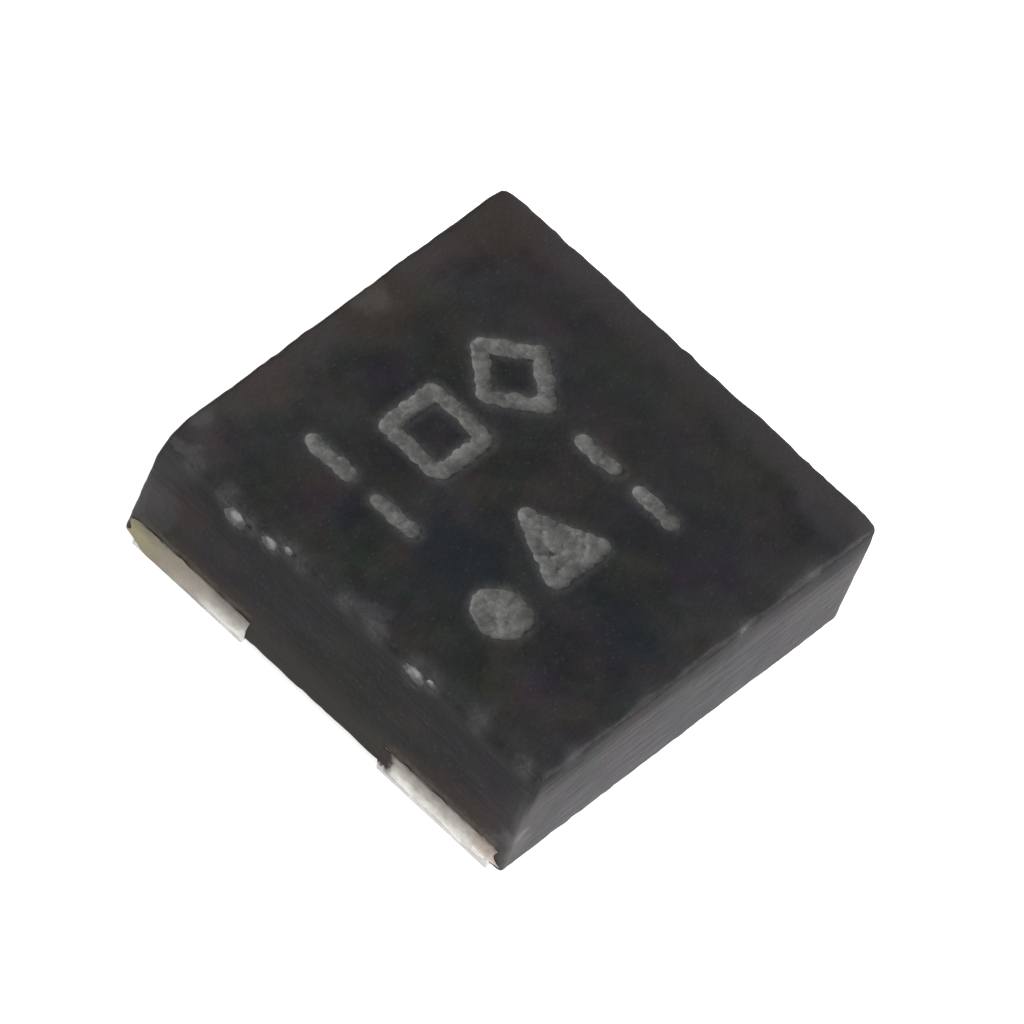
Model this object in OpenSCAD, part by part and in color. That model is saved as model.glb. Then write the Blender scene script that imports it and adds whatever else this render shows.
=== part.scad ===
/* [Body] */
// Width of the moulded body along X, across the two faces where the leads show
body_w = 1.00; // [0.90:0.01:1.30]
// Depth of the moulded body along Y
body_d = 1.00; // [0.95:0.01:1.30]
// Height of the moulded body from its underside to its top
body_h = 0.30; // [0.28:0.01:0.60]
// Radius left on the upright corners by the saw
corner_r = 0.012; // [0.005:0.001:0.030]

/* [Leads] */
// Distance between the middles of the two leads on one side
lead_pitch = 0.65; // [0.50:0.01:0.70]
// Width of a lead's foot
lead_w = 0.29; // [0.20:0.01:0.29]
// Length of a lead's foot, in from the side of the body
lead_l = 0.25; // [0.18:0.01:0.30]
// How much longer the foot of pin 1 is, which tells it from the others
pin_1_extra = 0.05; // [0.00:0.01:0.08]
// Thickness of the lead metal
lead_t = 0.07; // [0.05:0.005:0.12]
// How far the feet stand out below the resin
stand_off = 0.02; // [0.00:0.005:0.03]
// How far a lead's upper lip reaches past its foot
lead_lip = 0.025; // [0.010:0.005:0.040]
// Thickness of the lip on each lead and on the heat pad
lip_t = 0.03; // [0.02:0.005:0.04]
// Resin between a lead's lip and the saw cut
lip_setback = 0.05; // [0.02:0.01:0.10]

/* [Heat pad] */
// Heat pad across its flats
heat_pad_w = 0.48; // [0.36:0.01:0.60]
// Radius of the heat pad's corners
heat_pad_r = 0.02; // [0.01:0.005:0.05]
// How far the heat pad's upper lip reaches past its face, to carry the whole die
heat_pad_lip = 0.05; // [0.030:0.005:0.060]
// Gap between the heat pad and each lead's foot
pad_gap = 0.20; // [0.12:0.01:0.24]

/* [Die] */
// Width of the silicon die along X
die_w = 0.42; // [0.30:0.01:0.50]
// Depth of the silicon die along Y
die_d = 0.38; // [0.30:0.01:0.46]
// Thickness of the silicon die
die_t = 0.09; // [0.06:0.005:0.12]
// Thickness of the adhesive film under the die
film_t = 0.012; // [0.005:0.001:0.025]
// Side of a square bond pad on the die
bond_pad_w = 0.055; // [0.050:0.001:0.070]
// How far a bond pad stands above the die
bond_pad_t = 0.004; // [0.003:0.001:0.006]
// Middle of a bond pad, in from the two edges of the die
bond_pad_inset = 0.05; // [0.040:0.005:0.080]

/* [Bond wires] */
// Diameter of the wire
wire_d = 0.02; // [0.015:0.001:0.030]
// Diameter of the squashed ball on the die
ball_d = 0.044; // [0.036:0.001:0.050]
// Height of that ball
ball_h = 0.012; // [0.008:0.001:0.020]
// Diameter of the ball's shoulder, where the wire leaves it
shoulder_d = 0.03; // [0.022:0.001:0.034]
// Upright stretch of wire above the ball
neck_h = 0.02; // [0.010:0.001:0.035]
// Radius of the bend at the top of the loop
bend_r = 0.03; // [0.015:0.001:0.035]
// Diameter of the flattened stitch on the lead
stitch_d = 0.042; // [0.030:0.001:0.050]
// Thickness of that stitch
stitch_t = 0.006; // [0.003:0.001:0.010]
// Middle of the stitch, in from the side of the body
stitch_inset = 0.10; // [0.06:0.01:0.14]

/* [Pin 1 mark] */
// Diameter of the round mark on the top
mark_d = 0.12; // [0.08:0.01:0.16]
// Depth of the mark
mark_depth = 0.006; // [0.003:0.001:0.010]
// Middle of the mark, in from the side that the leads show on
mark_x_inset = 0.23; // [0.12:0.01:0.30]
// Middle of the mark, in from the side next to pin 1
mark_y_inset = 0.315; // [0.12:0.005:0.35]

/* [Hidden] */

// The origin is the middle of the top, where a placing nozzle lifts the chip, with Z up.
// Seen from above, pin 1 is at the near left and the pins count anticlockwise.
pin_sides = [[-1, -1], [1, -1], [1, 1], [-1, 1]];

// Heights: the board that the feet stand on, then each layer above it
board_z = -(body_h + stand_off);
metal_z = board_z + lead_t;
die_z = metal_z + film_t;
bond_z = die_z + die_t + bond_pad_t;

// Places in the quarter of the body where X and Y are both positive
lead_y = lead_pitch / 2;
stitch_at = [body_w / 2 - stitch_inset, lead_y];
bond_at = [die_w / 2 - bond_pad_inset, die_d / 2 - bond_pad_inset];

// How far a cutting shape runs past the face that it cuts
over = 0.1;
$fn = 48;

// Puts what is drawn in the positive quarter at a pin's corner
module at_pin(pin) {
    side = pin_sides[pin - 1];
    mirror([side[0] < 0 ? 1 : 0, 0, 0])
        mirror([0, side[1] < 0 ? 1 : 0, 0])
            children();
}

// A flat square with round corners, centred
module round_square(w, r) {
    square([w, w - 2 * r], center = true);
    square([w - 2 * r, w], center = true);
    for (sx = [-1, 1], sy = [-1, 1])
        translate([sx * (w / 2 - r), sy * (w / 2 - r)])
            circle(r);
}

// The block of resin, sawn square from the moulded strip
module resin_block() {
    translate([0, 0, -body_h])
        linear_extrude(body_h) {
            square([body_w, body_d - 2 * corner_r], center = true);
            square([body_w - 2 * corner_r, body_d], center = true);
            for (sx = [-1, 1], sy = [-1, 1])
                translate([sx * (body_w / 2 - corner_r), sy * (body_d / 2 - corner_r)])
                    circle(corner_r);
        }
}

// Everything that the resin is moulded round
module inserts() {
    for (pin = [1:4]) {
        lead(pin);
        bond_wire(pin);
    }
    heat_pad();
    die_film();
    silicon_die();
}

// The moulded and sawn body, with the round mark next to pin 1
module resin_body() {
    color([0.13, 0.13, 0.135])
        difference() {
            resin_block();
            inserts();
            at_pin(1)
                translate([body_w / 2 - mark_x_inset, body_d / 2 - mark_y_inset, -mark_depth])
                    cylinder(h = mark_depth + over, d = mark_d);
        }
}

// A lead's outline, cut back on the slant so that it clears the heat pad
module lead_outline(length, reach, setback) {
    difference() {
        translate([body_w / 2 - length - reach, lead_y - lead_w / 2 - reach])
            square([length + reach - setback, lead_w + reach]);
        rotate(45)
            square(heat_pad_w + 2 * (pad_gap - reach), center = true);
    }
}

// One lead: a foot that shows below and at the side, and a lip that the resin grips
module lead(pin) {
    length = pin == 1 ? lead_l + pin_1_extra : lead_l;
    color([0.72, 0.70, 0.62])
        at_pin(pin) {
            translate([0, 0, board_z])
                linear_extrude(lead_t)
                    lead_outline(length, 0, 0);
            translate([0, 0, metal_z - lip_t])
                linear_extrude(lip_t)
                    lead_outline(length, lead_lip, lip_setback);
        }
}

// The plate under the die, turned so that each flat faces a lead
module heat_pad() {
    color([0.72, 0.70, 0.62])
        rotate(45) {
            translate([0, 0, board_z])
                linear_extrude(lead_t)
                    round_square(heat_pad_w, heat_pad_r);
            translate([0, 0, metal_z - lip_t])
                linear_extrude(lip_t)
                    round_square(heat_pad_w + 2 * heat_pad_lip, heat_pad_r + heat_pad_lip);
        }
}

// The adhesive film, cut with the die and so of its size
module die_film() {
    color([0.85, 0.80, 0.62])
        translate([-die_w / 2, -die_d / 2, metal_z])
            cube([die_w, die_d, film_t]);
}

// The die, with one raised bond pad near each corner
module silicon_die() {
    color([0.42, 0.45, 0.50]) {
        translate([-die_w / 2, -die_d / 2, die_z])
            cube([die_w, die_d, die_t]);
        for (pin = [1:4])
            at_pin(pin)
                translate([bond_at[0], bond_at[1], die_z + die_t + bond_pad_t / 2])
                    cube([bond_pad_w, bond_pad_w, bond_pad_t], center = true);
    }
}

// One bond wire: ball, neck, bend, long slope and stitch.
// It is drawn along X, then turned to point from its bond pad to its lead.
module bond_wire(pin) {
    side = pin_sides[pin - 1];
    start = [side[0] * bond_at[0], side[1] * bond_at[1]];
    span = [side[0] * stitch_at[0], side[1] * stitch_at[1]] - start;
    run = norm(span);
    bend_z = bond_z + ball_h + neck_h;
    // The slope is the tangent from the stitch to the circle of the bend
    far = norm([run - bend_r, bend_z - metal_z]);
    slope = atan2(bend_z - metal_z, run - bend_r) + asin(bend_r / far);
    slope_l = sqrt(far * far - bend_r * bend_r);
    color([0.90, 0.74, 0.35])
        translate([start[0], start[1], 0])
            rotate([0, 0, atan2(span[1], span[0])]) {
                translate([0, 0, bond_z]) {
                    cylinder(h = ball_h / 2, d = ball_d);
                    translate([0, 0, ball_h / 2])
                        cylinder(h = ball_h / 2, d1 = ball_d, d2 = shoulder_d);
                    cylinder(h = ball_h + neck_h, d = wire_d);
                }
                translate([bend_r, 0, bend_z])
                    rotate([90, 0, 0])
                        rotate([0, 0, 90 - slope])
                            rotate_extrude(angle = 90 + slope)
                                translate([bend_r, 0])
                                    circle(d = wire_d);
                intersection() {
                    translate([run, 0, metal_z])
                        rotate([0, slope - 90, 0])
                            translate([0, 0, -wire_d])
                                cylinder(h = slope_l + wire_d, d = wire_d);
                    translate([0, -wire_d, metal_z])
                        cube([run + over, 2 * wire_d, body_h]);
                }
                translate([run, 0, metal_z])
                    cylinder(h = stitch_t, d = stitch_d);
            }
}

resin_body();
lead(1);  // lead_1_output
lead(2);  // lead_2_ground
lead(3);  // lead_3_enable
lead(4);  // lead_4_input
heat_pad();
die_film();
silicon_die();
bond_wire(1);  // wire_1_output
bond_wire(2);  // wire_2_ground
bond_wire(3);  // wire_3_enable
bond_wire(4);  // wire_4_input
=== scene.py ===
import math
import random

import bmesh
import bpy
from mathutils import Euler, Matrix, Vector, noise


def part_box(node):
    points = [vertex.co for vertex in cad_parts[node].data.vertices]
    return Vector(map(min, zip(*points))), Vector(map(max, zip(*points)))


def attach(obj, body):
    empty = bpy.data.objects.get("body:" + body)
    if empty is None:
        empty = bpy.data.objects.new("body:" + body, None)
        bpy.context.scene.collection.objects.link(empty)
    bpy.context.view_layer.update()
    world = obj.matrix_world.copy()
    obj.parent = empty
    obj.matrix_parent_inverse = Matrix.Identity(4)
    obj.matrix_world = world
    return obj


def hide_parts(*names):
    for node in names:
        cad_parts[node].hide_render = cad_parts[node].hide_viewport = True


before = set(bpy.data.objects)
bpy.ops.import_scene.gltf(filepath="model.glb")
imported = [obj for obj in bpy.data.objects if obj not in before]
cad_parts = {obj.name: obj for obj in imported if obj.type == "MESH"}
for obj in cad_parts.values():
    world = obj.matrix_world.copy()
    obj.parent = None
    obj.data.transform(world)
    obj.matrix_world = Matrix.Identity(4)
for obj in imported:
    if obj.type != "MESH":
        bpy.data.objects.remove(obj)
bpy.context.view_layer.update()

# The chip is a millimetre across. New pieces are modelled with one unit to the
# millimetre and brought down to metres at the end, so every size below is in mm.
metresPerUnit = 0.001
onFace = 0.001  # a point this close to a side of the chip lies on it
tooSmall = 0.00002  # points closer together than this become one
smoothBelow = math.radians(32)  # edges flatter than this look round
fullTurn = 6.28


def inMillimetres(value):
    return round(value / metresPerUnit, 4)


resinLow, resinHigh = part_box("resin_body")
leadLow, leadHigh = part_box("lead_3_enable")
halfSide = inMillimetres(resinHigh.x)
bodyHeight = inMillimetres(resinHigh.z - resinLow.z)
leadTop = inMillimetres(leadHigh.z)
footBottom = inMillimetres(leadLow.z)
print("frame loaded", sorted(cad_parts))


# Selecting and shaping

def deselectAll():
    if bpy.context.object and bpy.context.object.mode != "OBJECT":
        bpy.ops.object.mode_set(mode="OBJECT")
    bpy.ops.object.select_all(action="DESELECT")


def makeActive(piece):
    deselectAll()
    piece.select_set(True)
    bpy.context.view_layer.objects.active = piece


def openForEdit(piece, selectBy="FACE"):
    makeActive(piece)
    bpy.ops.object.mode_set(mode="EDIT")
    bpy.ops.mesh.select_mode(type=selectBy)
    bpy.ops.mesh.select_all(action="DESELECT")


def pick(piece, kind, test):
    # kind is verts, edges or faces
    mesh = bmesh.from_edit_mesh(piece.data)
    for part in getattr(mesh, kind):
        part.select_set(bool(test(part)))
    mesh.select_flush_mode()
    bmesh.update_edit_mesh(piece.data)


def closeEdit():
    bpy.ops.object.mode_set(mode="OBJECT")


def newest(name):
    piece = bpy.context.object
    piece.name = name
    piece.data.name = name
    return piece


def applyPlace(piece):
    makeActive(piece)
    bpy.ops.object.transform_apply(location=True, rotation=True, scale=True)


def joinAll(pieces, name):
    for piece in pieces:
        applyPlace(piece)
    deselectAll()
    for piece in pieces:
        piece.select_set(True)
    bpy.context.view_layer.objects.active = pieces[0]
    if len(pieces) > 1:
        bpy.ops.object.join()
    return newest(name)


def combine(piece, other, how, overlaps=False):
    makeActive(piece)
    step = piece.modifiers.new("combine", "BOOLEAN")
    step.operation = how
    step.solver = "EXACT"
    step.use_self = overlaps
    step.material_mode = "TRANSFER"
    step.object = other
    bpy.ops.object.modifier_apply(modifier=step.name)
    bpy.data.objects.remove(other)


def fuse(piece):
    # makes one clean skin of shapes that overlap, by cutting them with a cube far away
    deselectAll()
    bpy.ops.mesh.primitive_cube_add(size=0.1, location=(0, 0, 5))
    combine(piece, newest("farCube"), "DIFFERENCE", overlaps=True)
    return piece


def smooth(piece):
    makeActive(piece)
    bpy.ops.object.shade_smooth_by_angle(angle=smoothBelow)


def bringToSize(piece):
    makeActive(piece)
    bpy.ops.transform.resize(value=[metresPerUnit] * 3, center_override=(0, 0, 0))
    applyPlace(piece)


def solidOf(nodeName, name):
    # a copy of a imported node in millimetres, with its loose triangles merged into flat faces
    piece = bpy.data.objects.new(name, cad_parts[nodeName].data.copy())
    piece.data.materials.clear()
    bpy.context.scene.collection.objects.link(piece)
    makeActive(piece)
    bpy.ops.transform.resize(value=[1 / metresPerUnit] * 3, center_override=(0, 0, 0))
    applyPlace(piece)
    openForEdit(piece, "VERT")
    bpy.ops.mesh.select_all(action="SELECT")
    bpy.ops.mesh.remove_doubles(threshold=0.0001)
    bpy.ops.mesh.dissolve_limited(angle_limit=math.radians(1))
    closeEdit()
    return piece


# Camera

cameraLook = {
    "distance": 50.0,
    "pixelsPerMillimetre": 525.4,
    "pixelsAcross": 1024,
    "azimuth": -67.31,
    "elevation": 50.19,
    "roll": 24.68,
    "aimRight": -0.0582,  # where the foot of the body's axis sits, from the middle of the picture
    "aimUp": -0.1145,
    "sensor": 36,
}


def makeCamera():
    look = cameraLook
    azimuth, elevation = math.radians(look["azimuth"]), math.radians(look["elevation"])
    flat = math.cos(elevation)
    back = Vector((math.sin(azimuth) * flat, -math.cos(azimuth) * flat, math.sin(elevation)))
    turn = (-back).to_track_quat("-Z", "Y").to_matrix()
    turn = turn @ Matrix.Rotation(math.radians(look["roll"]), 3, "Z")
    foot = Vector((0, 0, -bodyHeight))
    aim = foot - turn.col[0] * look["aimRight"] - turn.col[1] * look["aimUp"]
    spot = (aim + back * look["distance"]) * metresPerUnit
    camera = bpy.data.objects.new("camera", bpy.data.cameras.new("camera"))
    camera.matrix_world = Matrix.Translation(spot) @ turn.to_4x4()
    camera.data.sensor_width = look["sensor"]
    camera.data.lens = look["sensor"] * look["pixelsPerMillimetre"] * look["distance"] / look["pixelsAcross"]
    camera.data.clip_start = 0.001
    camera.data.clip_end = 1
    bpy.context.scene.collection.objects.link(camera)
    bpy.context.scene.camera = camera
    print("camera placed, lens", round(camera.data.lens, 1))


makeCamera()


# Materials

def newMaterial(name, roughness, metallic=0.0, **sockets):
    material = bpy.data.materials.new(name)
    material.use_nodes = True
    tree = material.node_tree
    shader = tree.nodes["Principled BSDF"]
    shader.inputs["Roughness"].default_value = roughness
    shader.inputs["Metallic"].default_value = metallic
    for socket, value in sockets.items():
        shader.inputs[socket.replace("_", " ")].default_value = value
    return material, tree, shader


def place(tree, stretch=(1, 1, 1)):
    # Object coordinates in millimetres
    coordinates = tree.nodes.new("ShaderNodeTexCoord")
    mapping = tree.nodes.new("ShaderNodeMapping")
    mapping.inputs["Scale"].default_value = [s / metresPerUnit for s in stretch]
    tree.links.new(coordinates.outputs["Object"], mapping.inputs["Vector"])
    return mapping.outputs["Vector"]


def grain(tree, where, size, detail=2.0, rough=0.5, output="Fac"):
    # cloudy noise with features of about this size
    texture = tree.nodes.new("ShaderNodeTexNoise")
    texture.inputs["Scale"].default_value = 1 / size
    texture.inputs["Detail"].default_value = detail
    texture.inputs["Roughness"].default_value = rough
    tree.links.new(where, texture.inputs["Vector"])
    return texture.outputs[output]


def cells(tree, where, size, output="Distance"):
    texture = tree.nodes.new("ShaderNodeTexVoronoi")
    texture.inputs["Scale"].default_value = 1 / size
    tree.links.new(where, texture.inputs["Vector"])
    return texture.outputs[output]


def ramp(tree, value, stops, smooth=False):
    node = tree.nodes.new("ShaderNodeValToRGB")
    node.color_ramp.interpolation = "EASE" if smooth else "LINEAR"
    elements = node.color_ramp.elements
    while len(elements) < len(stops):
        elements.new(0.5)
    for element, (position, colour) in zip(elements, stops):
        element.position = position
        element.color = (*colour, 1) if isinstance(colour, tuple) else (colour, colour, colour, 1)
    tree.links.new(value, node.inputs["Fac"])
    return node.outputs["Color"]


def mixed(tree, factor, first, second, how="MIX"):
    node = tree.nodes.new("ShaderNodeMix")
    node.data_type = "RGBA"
    node.blend_type = how
    for socket, value in zip((0, 6, 7), (factor, first, second)):
        if isinstance(value, bpy.types.NodeSocket):
            tree.links.new(value, node.inputs[socket])
        elif socket == 0:
            node.inputs[0].default_value = value
        else:
            node.inputs[socket].default_value = (*value, 1)
    return node.outputs[2]


def sums(tree, how, first, second):
    node = tree.nodes.new("ShaderNodeMath")
    node.operation = how
    for socket, value in enumerate((first, second)):
        if isinstance(value, bpy.types.NodeSocket):
            tree.links.new(value, node.inputs[socket])
        else:
            node.inputs[socket].default_value = value
    return node.outputs[0]


def axes(tree):
    # where a point is on the chip, in millimetres
    split = tree.nodes.new("ShaderNodeSeparateXYZ")
    tree.links.new(place(tree), split.inputs[0])
    return split.outputs


def both(tree, first, second):
    # a mask where two masks meet
    return sums(tree, "MULTIPLY", first, second)


def nearEdge(tree, value):
    # distance of a coordinate from the two sides of the chip, whichever is nearer
    return sums(tree, "SUBTRACT", halfSide, sums(tree, "ABSOLUTE", value, 0))


def reach(tree, first, second):
    # how far away the edge is where both of these distances are zero
    squares = [sums(tree, "POWER", value, 2) for value in (first, second)]
    return sums(tree, "SQRT", sums(tree, "ADD", *squares), 0)


def centred(tree, texture, amount):
    # a noise brought to lie around zero
    return sums(tree, "MULTIPLY", sums(tree, "SUBTRACT", texture, 0.5), amount)


def fade(tree, distance, full, none, wobble=None, strength=1.0):
    # 1 up to one distance and 0 past the other, with its border broken up by a noise
    if wobble is not None:
        distance = sums(tree, "ADD", distance, centred(tree, *wobble))
    return ramp(tree, distance, [(full, strength), (none, 0.0)], True)


def stain(tree, where, spot, radius, wobble, strength, core=0.25):
    # full up to this share of the radius, and gone at the radius
    node = tree.nodes.new("ShaderNodeVectorMath")
    node.operation = "DISTANCE"
    node.inputs[1].default_value = spot
    tree.links.new(where, node.inputs[0])
    return fade(tree, node.outputs["Value"], radius * core, radius, wobble, strength)


def tinted(tree, where, colour, size, strength):
    # slight shifts of hue from place to place
    return mixed(tree, strength, colour, grain(tree, where, size, 3, 0.6, "Color"), "OVERLAY")


def paintOf(tree, name):
    # what is painted on the mesh under this name, from 0 to 1
    paint = tree.nodes.new("ShaderNodeAttribute")
    paint.attribute_name = name
    return paint.outputs["Fac"]


def painted(tree, name, where, size, strength):
    # what is painted on the mesh, broken up by a grain
    broken = ramp(tree, grain(tree, where, size, 3, 0.6), [(0.30, 0.35 * strength), (0.70, strength)])
    return sums(tree, "MULTIPLY", paintOf(tree, name), broken)


def bump(tree, shader, layers):
    # each layer is a height, its depth in millimetres and a strength
    normal = None
    for height, depth, strength in layers:
        node = tree.nodes.new("ShaderNodeBump")
        node.inputs["Strength"].default_value = strength
        node.inputs["Distance"].default_value = depth * metresPerUnit
        tree.links.new(height, node.inputs["Height"])
        if normal:
            tree.links.new(normal, node.inputs["Normal"])
        normal = node.outputs["Normal"]
    tree.links.new(normal, shader.inputs["Normal"])


resinColours = {
    "dark": (0.0124, 0.0124, 0.0132),
    "light": (0.0264, 0.0259, 0.0267),
    "brown": (0.036, 0.028, 0.0215),
    "rust": (0.047, 0.034, 0.029),
    "blue": (0.0092, 0.0146, 0.0205),
    "purple": (0.0150, 0.0130, 0.0190),
    "worn": (0.051, 0.0425, 0.0430),
    "rubbed": (0.042, 0.041, 0.043),
    "scuffed": (0.090, 0.088, 0.089),
    "dusted": (0.145, 0.142, 0.145),
    "sawnDark": (0.0172, 0.0160, 0.0175),
    "sawnLight": (0.0320, 0.0305, 0.0325),
    "dustAndLight": (0.061, 0.056, 0.065),
    "filler": (0.075, 0.074, 0.076),
    "coppered": (0.046, 0.030, 0.022),
    "olive": (0.077, 0.069, 0.057),
    "metalDust": (0.150, 0.132, 0.112),
    "chipped": (0.17, 0.165, 0.165),
    "broken": (0.46, 0.45, 0.445),
    "lasered": (0.150, 0.149, 0.143),
    "ash": (0.060, 0.060, 0.060),
}

# faint stains on the top and on two of the sides: colour, middle, radius, strength
topStains = [
    ("brown", (0.40, 0.43, 0), 0.13, 0.6),
    ("brown", (0.07, 0.47, 0), 0.14, 0.9),
    ("worn", (0.33, 0.30, 0), 0.20, 0.2),
    ("light", (0.33, -0.05, 0), 0.35, 0.4),
    ("rust", (-0.24, 0.47, 0), 0.09, 0.5),
    ("worn", (-0.45, 0.44, 0), 0.10, 0.4),
    ("rubbed", (-0.25, 0.36, 0), 0.16, 0.20),
    ("blue", (-0.26, -0.05, 0), 0.15, 0.7),
    ("blue", (-0.13, -0.37, 0), 0.12, 0.5),
    ("purple", (0.17, -0.33, 0), 0.17, 0.5),
    ("scuffed", (-0.480, -0.03, 0), 0.045, 0.30),
    ("scuffed", (-0.470, -0.33, 0), 0.035, 0.30),
    ("dusted", (-0.50, 0.475, 0), 0.055, 0.45),
    ("dusted", (-0.41, 0.50, 0), 0.060, 0.22),
    ("dusted", (0.07, 0.49, 0), 0.070, 0.20),
    ("rubbed", (-0.43, -0.42, 0), 0.10, 0.35),
    ("rubbed", (0.08, -0.43, 0), 0.10, 0.35),
    ("worn", (-0.30, 0.50, 0), 0.11, 0.4),
    ("rubbed", (0.48, -0.43, 0), 0.14, 0.5),
    ("rubbed", (0.24, -0.46, 0), 0.12, 0.35),
]
sideStains = [
    ("worn", (-0.5, 0.47, -0.10), 0.13, 0.7),
    ("dusted", (-0.5, 0.455, -0.025), 0.090, 0.55),
    ("rust", (-0.5, 0.39, -0.12), 0.08, 0.8),
    ("worn", (-0.5, 0.05, -0.19), 0.22, 0.22),
    ("rust", (-0.5, -0.34, -0.24), 0.10, 0.7),
    ("rust", (-0.5, -0.44, -0.23), 0.09, 0.9),
    ("dusted", (-0.5, -0.5, -0.23), 0.070, 0.3),
    ("dusted", (-0.5, -0.495, -0.19), 0.040, 0.7),
    ("dusted", (-0.5, 0.47, -0.17), 0.090, 0.35),
    ("sawnDark", (-0.43, -0.5, -0.035), 0.055, 0.6),
    ("rust", (-0.21, -0.5, -0.06), 0.09, 0.5),
    ("rust", (0.31, -0.5, -0.10), 0.07, 0.4),
]

# bands of wear and colour, and one of painted shade under the plain rims: how far from an edge each is full,
# where it ends, and its strength
wearAndShadeBands = {
    "farRim": (0.020, 0.115, 0.76),
    "nearRim": (0.010, 0.085, 0.24),
    "leadRim": (0.008, 0.070, 0.34),
    "leadRimEdge": (0.002, 0.014, 0.30),
    "upright": (0.010, 0.110, 0.70),
    "uprightEdge": (0.006, 0.050, 0.62),
    "overLeads": (0.004, 0.050, 0.80),
    "leadEnds": (0.130, 0.190, 1.0),
    "lowDown": (0.015, 0.120, 0.75),
    "underLeadRim": (0.050, 0.160, 0.60),
    "plainRimShade": (0.0, 0.110, 0.68),
    "rubbedRim": (0.020, 0.054, 0.50),
    "scuffedRim": (0.003, 0.016, 0.30),
    "metalDust": (0.002, 0.024, 0.75),
    "metalDustEnds": (0.135, 0.150, 1.0),
}
leadMiddle = 0.33  # of the sawn ends, along the side


def band(tree, distance, name, texture, ragged):
    full, none, strength = wearAndShadeBands[name]
    return fade(tree, distance, full, none, (texture, ragged), strength)


def mouldedResin():
    look = resinColours
    material, tree, shader = newMaterial("mouldedResin", 0.6, Specular_IOR_Level=0.20)
    where = place(tree)
    x, y, z = axes(tree)
    fine, coarse = grain(tree, where, 0.012, 3, 0.6), grain(tree, where, 0.07, 3, 0.6)
    cloud = grain(tree, where, 0.13, 5, 0.66)
    colour = ramp(tree, cloud, [(0.36, look["dark"]), (0.64, look["light"])])
    colour = tinted(tree, where, colour, 0.14, 0.65)
    # a paler, browner band along the two far rims, and plain ones along the others
    fromFar = [sums(tree, "SUBTRACT", halfSide, value) for value in (x, y)]
    farRim = band(tree, sums(tree, "MINIMUM", *fromFar), "farRim", coarse, 0.09)
    colour = mixed(tree, farRim, colour, look["worn"])
    nearRim = band(tree, sums(tree, "ADD", y, halfSide), "nearRim", coarse, 0.05)
    colour = mixed(tree, nearRim, colour, look["rubbed"])
    fromLeadRim = reach(tree, nearEdge(tree, x), z)
    colour = mixed(tree, band(tree, fromLeadRim, "leadRim", coarse, 0.06), colour, look["rubbed"])
    colour = mixed(tree, band(tree, fromLeadRim, "leadRimEdge", fine, 0.03), colour, look["scuffed"])
    for name, spot, radius, strength in topStains:
        spread = stain(tree, where, spot, radius, (coarse, 0.13), strength)
        colour = mixed(tree, spread, colour, look[name])
    # dust round the chips and soft ash round the laser marks
    colour = mixed(tree, painted(tree, "dust", where, 0.014, 0.55), colour, look["dusted"])
    colour = mixed(tree, painted(tree, "ash", where, 0.016, 1.0), colour, look["ash"])
    speck = ramp(tree, cells(tree, where, 0.020), [(0.08, 0.20), (0.20, 0.0)])
    colour = mixed(tree, speck, colour, look["filler"])
    tree.links.new(colour, shader.inputs["Base Color"])
    tree.links.new(ramp(tree, fine, [(0.3, 0.54), (0.7, 0.76)]), shader.inputs["Roughness"])
    bump(tree, shader, [(coarse, 0.004, 0.5), (grain(tree, where, 0.009, 3, 0.6), 0.0016, 0.8)])
    return material


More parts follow.
